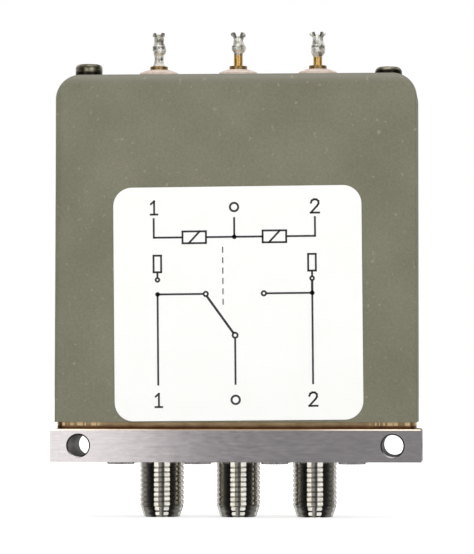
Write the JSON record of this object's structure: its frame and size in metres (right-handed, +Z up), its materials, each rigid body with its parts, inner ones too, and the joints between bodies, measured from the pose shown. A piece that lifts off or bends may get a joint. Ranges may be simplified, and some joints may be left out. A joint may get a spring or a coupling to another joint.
{
  "type": "coaxial antenna switch",
  "caption": "Latching coaxial changeover switch: flat painted cover on a machined base plate, threaded coaxial ports below, solder terminals on top.",
  "frame": {"origin": "centre of the common port's mating face, which is also the middle of the object's lowest plane", "axes": "+Z up, from the connectors to the terminals; +X across the ports, from port 1 to port 2; the labelled front faces -Y"},
  "size_m": [0.0536, 0.0142, 0.0708],
  "materials": {
    "machined_aluminium": "milled and brushed",
    "gold_plate": "gold plated",
    "stainless_steel": "turned, passivated",
    "contact_gold": "gold plated beryllium copper",
    "dielectric": "white fluoropolymer",
    "cover_paint": "fine textured grey-olive paint",
    "black_screw_steel": "black oxide",
    "screw_steel": "passivated",
    "soft_iron": "ground, nickel flashed",
    "magnet": "sintered",
    "frame_brass": "milled",
    "bobbin_plastic": "moulded",
    "copper_wire": "enamelled copper",
    "spring_steel": "drawn wire",
    "rod_plastic": "machined dielectric",
    "chip_ceramic": "fired ceramic",
    "board_laminate": "solder-masked laminate",
    "component_black": "moulded epoxy",
    "label_film": null,
    "bushing_plastic": "cream insulating plastic",
    "terminal_gold": "gold plated with tinned tips",
    "solder": "tin solder"
  },
  "bodies": {
    "body": {"base_plate": "machined_aluminium", "ground_plate": "gold_plate", "port_1_barrel": "stainless_steel", "common_port_barrel": "stainless_steel", "port_2_barrel": "stainless_steel", "port_insulators": "dielectric", "port_1_contact": "contact_gold", "common_port_contact": "contact_gold", "port_2_contact": "contact_gold", "load_1_chip": "chip_ceramic", "load_2_chip": "chip_ceramic", "body_screws": "screw_steel", "actuator_frame": "frame_brass", "pivot_pins": "screw_steel", "yoke_1": "soft_iron", "yoke_2": "soft_iron", "magnet_1": "magnet", "magnet_2": "magnet", "coil_cores": "soft_iron", "yoke_screws": "screw_steel", "driver_board": "board_laminate", "logic_chip": "component_black", "board_spacers": "frame_brass", "board_screws": "screw_steel", "driver_transistors": "component_black", "suppression_diodes": "component_black", "board_passives": "chip_ceramic", "coil_leads": "copper_wire", "supply_leads": "solder", "cover": "cover_paint", "label": "label_film", "cover_posts": "frame_brass", "cover_screws": "black_screw_steel", "terminal_bushings": "bushing_plastic", "terminal_1": "terminal_gold", "common_terminal": "terminal_gold", "terminal_2": "terminal_gold", "load_1_return_spring": "spring_steel", "load_1_bobbin": "bobbin_plastic", "load_1_winding": "copper_wire", "path_1_return_spring": "spring_steel", "path_1_bobbin": "bobbin_plastic", "path_1_winding": "copper_wire", "path_2_return_spring": "spring_steel", "path_2_bobbin": "bobbin_plastic", "path_2_winding": "copper_wire", "load_2_return_spring": "spring_steel", "load_2_bobbin": "bobbin_plastic", "load_2_winding": "copper_wire"},
    "load_1_contact": {"load_1_push_rod": "rod_plastic", "load_1_blade": "contact_gold"},
    "path_1_contact": {"path_1_push_rod": "rod_plastic", "path_1_blade": "contact_gold"},
    "path_2_contact": {"path_2_push_rod": "rod_plastic", "path_2_blade": "contact_gold"},
    "load_2_contact": {"load_2_push_rod": "rod_plastic", "load_2_blade": "contact_gold"},
    "rocker_1": {"rocker_1": "soft_iron"},
    "rocker_2": {"rocker_2": "soft_iron"}
  },
  "joints": [
    {"name": "rocker_1_pivot", "type": "hinge", "parent": "body", "child": "rocker_1", "pos_m": [-0.01019, 0, 0.01889], "axis": [0, -1, 0], "range_deg": [0, 9.98]},
    {"name": "rocker_2_pivot", "type": "hinge", "parent": "body", "child": "rocker_2", "pos_m": [0.01019, 0, 0.01889], "axis": [0, -1, 0], "range_deg": [0, 9.98]},
    {"name": "load_1_contact_slide", "type": "slide", "parent": "body", "child": "load_1_contact", "axis": [0, 0, -1], "range_m": [0, 0.00081], "deforming": ["load_1_return_spring"]},
    {"name": "path_1_contact_slide", "type": "slide", "parent": "body", "child": "path_1_contact", "axis": [0, 0, 1], "range_m": [0, 0.00081], "deforming": ["path_1_return_spring"]},
    {"name": "path_2_contact_slide", "type": "slide", "parent": "body", "child": "path_2_contact", "axis": [0, 0, -1], "range_m": [0, 0.00081], "deforming": ["path_2_return_spring"]},
    {"name": "load_2_contact_slide", "type": "slide", "parent": "body", "child": "load_2_contact", "axis": [0, 0, 1], "range_m": [0, 0.00081], "deforming": ["load_2_return_spring"]}
  ],
  "couplings": [
    {"joint": "rocker_2_pivot", "follows": "rocker_1_pivot", "ratio": 1},
    {"joint": "load_1_contact_slide", "follows": "rocker_1_pivot", "m_per_rad": 0.0046},
    {"joint": "path_1_contact_slide", "follows": "rocker_1_pivot", "m_per_rad": 0.0046},
    {"joint": "path_2_contact_slide", "follows": "rocker_1_pivot", "m_per_rad": 0.0046},
    {"joint": "load_2_contact_slide", "follows": "rocker_1_pivot", "m_per_rad": 0.0046}
  ]
}
